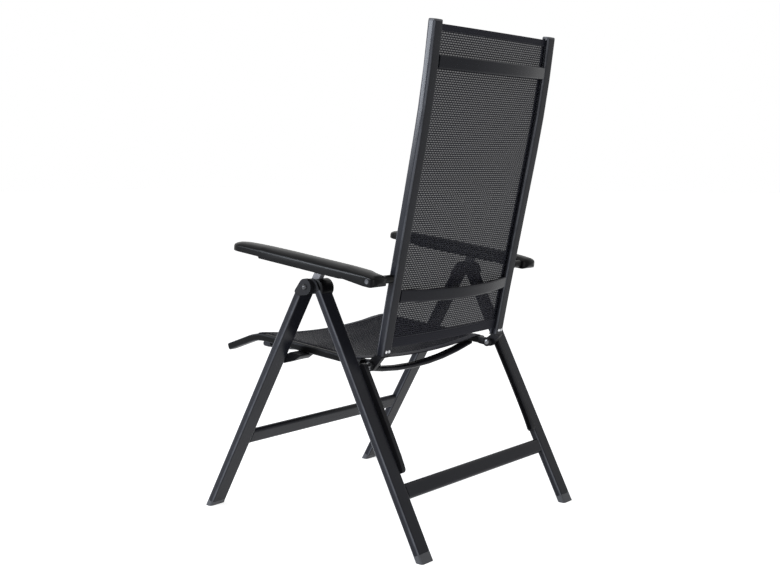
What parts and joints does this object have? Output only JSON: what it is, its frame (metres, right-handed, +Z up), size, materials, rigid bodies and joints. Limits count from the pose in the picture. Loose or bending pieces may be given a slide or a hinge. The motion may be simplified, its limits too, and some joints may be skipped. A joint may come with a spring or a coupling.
{
  "type": "folding sling patio chair",
  "caption": "High-back folding sling chair for patio or porch: tube legs crossing under the armrests, stretched mesh seat and back, reclining back, liftable armrests.",
  "frame": {"origin": "on the ground, in the middle of the chair's footprint, with the chair opened and the back at its most upright", "axes": "+X to the sitter's left, -Y the way the sitter faces, +Z up"},
  "size_m": [0.622, 0.6566, 1.1019],
  "materials": {
    "frame_coat": "satin anthracite powder coat on aluminium tube",
    "casting": "matte black coated casting",
    "grey_plastic": "moulded grey plastic",
    "pale_grey_plastic": "moulded pale grey plastic",
    "black_plastic": "satin black moulded plastic",
    "fastener_steel": "plain steel",
    "sling_mesh": "coated open mesh, stretched"
  },
  "bodies": {
    "front_legs": {"front_foot_cap_left": "grey_plastic", "front_foot_cap_right": "grey_plastic", "front_leg_crossbar": "frame_coat", "front_leg_head_left": "casting", "front_leg_head_right": "casting", "front_leg_left": "frame_coat", "front_leg_right": "frame_coat", "seat_pivot_rivet_left": "fastener_steel", "seat_pivot_rivet_right": "fastener_steel"},
    "rear_legs": {"guide_track_left": "casting", "guide_track_right": "casting", "leg_hinge_bolt_left": "fastener_steel", "leg_hinge_bolt_right": "fastener_steel", "lock_post_left": "pale_grey_plastic", "lock_post_right": "pale_grey_plastic", "rear_foot_cap_left": "grey_plastic", "rear_foot_cap_right": "grey_plastic", "rear_leg_crossbar": "frame_coat", "rear_leg_head_left": "casting", "rear_leg_head_right": "casting", "rear_leg_left": "frame_coat", "rear_leg_right": "frame_coat"},
    "rear_pivots": {"rear_pivot_bolt_left": "fastener_steel", "rear_pivot_bolt_right": "fastener_steel", "track_roller_left": "black_plastic", "track_roller_right": "black_plastic"},
    "seat": {"seat_front_stay": "frame_coat", "seat_pivot_bracket_left": "casting", "seat_pivot_bracket_right": "casting", "seat_rail_left": "frame_coat", "seat_rail_right": "frame_coat", "seat_rail_tip_left": "black_plastic", "seat_rail_tip_right": "black_plastic", "seat_rear_bracket_left": "casting", "seat_rear_bracket_right": "casting", "seat_rear_stay": "frame_coat", "seat_sling": "sling_mesh"},
    "back": {"arm_pivot_washer_left": "grey_plastic", "arm_pivot_washer_right": "grey_plastic", "back_foot_bracket_left": "casting", "back_foot_bracket_right": "casting", "back_lower_bar": "frame_coat", "back_rail_left": "frame_coat", "back_rail_right": "frame_coat", "back_rail_rivet_1_left": "fastener_steel", "back_rail_rivet_1_right": "fastener_steel", "back_rail_rivet_2_left": "fastener_steel", "back_rail_rivet_2_right": "fastener_steel", "back_sling": "sling_mesh", "back_top_cap_left": "grey_plastic", "back_top_cap_right": "grey_plastic", "back_upper_bar": "frame_coat"},
    "arm_pins": {"arm_pivot_pin_left": "fastener_steel", "arm_pivot_pin_right": "fastener_steel"},
    "arm_bushes": {"arm_pivot_bush_left": "black_plastic", "arm_pivot_bush_right": "black_plastic"},
    "armrest_left_lifting": {"armrest_left": "black_plastic"},
    "armrest_right_lifting": {"armrest_right": "black_plastic"}
  },
  "joints": [
    {"name": "leg_fold", "type": "hinge", "parent": "rear_legs", "child": "front_legs", "pos_m": [0, 0.01089, 0.549], "axis": [1, 0, 0], "range_deg": [0, 50]},
    {"name": "seat_swing", "type": "hinge", "parent": "front_legs", "child": "seat", "pos_m": [0, -0.10383, 0.37385], "axis": [1, 0, 0], "range_deg": [-98.5, 0]},
    {"name": "rear_pivot_turn", "type": "hinge", "parent": "seat", "child": "rear_pivots", "pos_m": [0, 0.13057, 0.37985], "axis": [1, 0, 0], "range_deg": [0, 86.2]},
    {"name": "back_recline", "type": "hinge", "parent": "rear_pivots", "child": "back", "pos_m": [0, 0.13057, 0.37985], "axis": [-1, 0, 0], "range_deg": [0, 33]},
    {"name": "arm_pin_turn", "type": "hinge", "parent": "back", "child": "arm_pins", "pos_m": [0, 0.18817, 0.57185], "axis": [1, 0, 0], "range_deg": [-138.2, 0]},
    {"name": "arm_bush_turn", "type": "hinge", "parent": "arm_pins", "child": "arm_bushes", "pos_m": [0, 0.18817, 0.57185], "axis": [1, 0, 0], "range_deg": [0, 22.28]},
    {"name": "armrest_left_lift", "type": "hinge", "parent": "arm_bushes", "child": "armrest_left_lifting", "pos_m": [0, 0.18817, 0.57185], "axis": [-1, 0, 0], "range_deg": [0, 28]},
    {"name": "armrest_right_lift", "type": "hinge", "parent": "arm_bushes", "child": "armrest_right_lifting", "pos_m": [0, 0.18817, 0.57185], "axis": [-1, 0, 0], "range_deg": [0, 28]}
  ],
  "couplings": [
    {"joint": "seat_swing", "follows": "leg_fold", "ratio": -1.96},
    {"joint": "rear_pivot_turn", "follows": "leg_fold", "ratio": 1.714},
    {"joint": "arm_pin_turn", "follows": "leg_fold", "ratio": -2.754},
    {"joint": "arm_bush_turn", "follows": "back_recline", "ratio": 0.66}
  ]
}
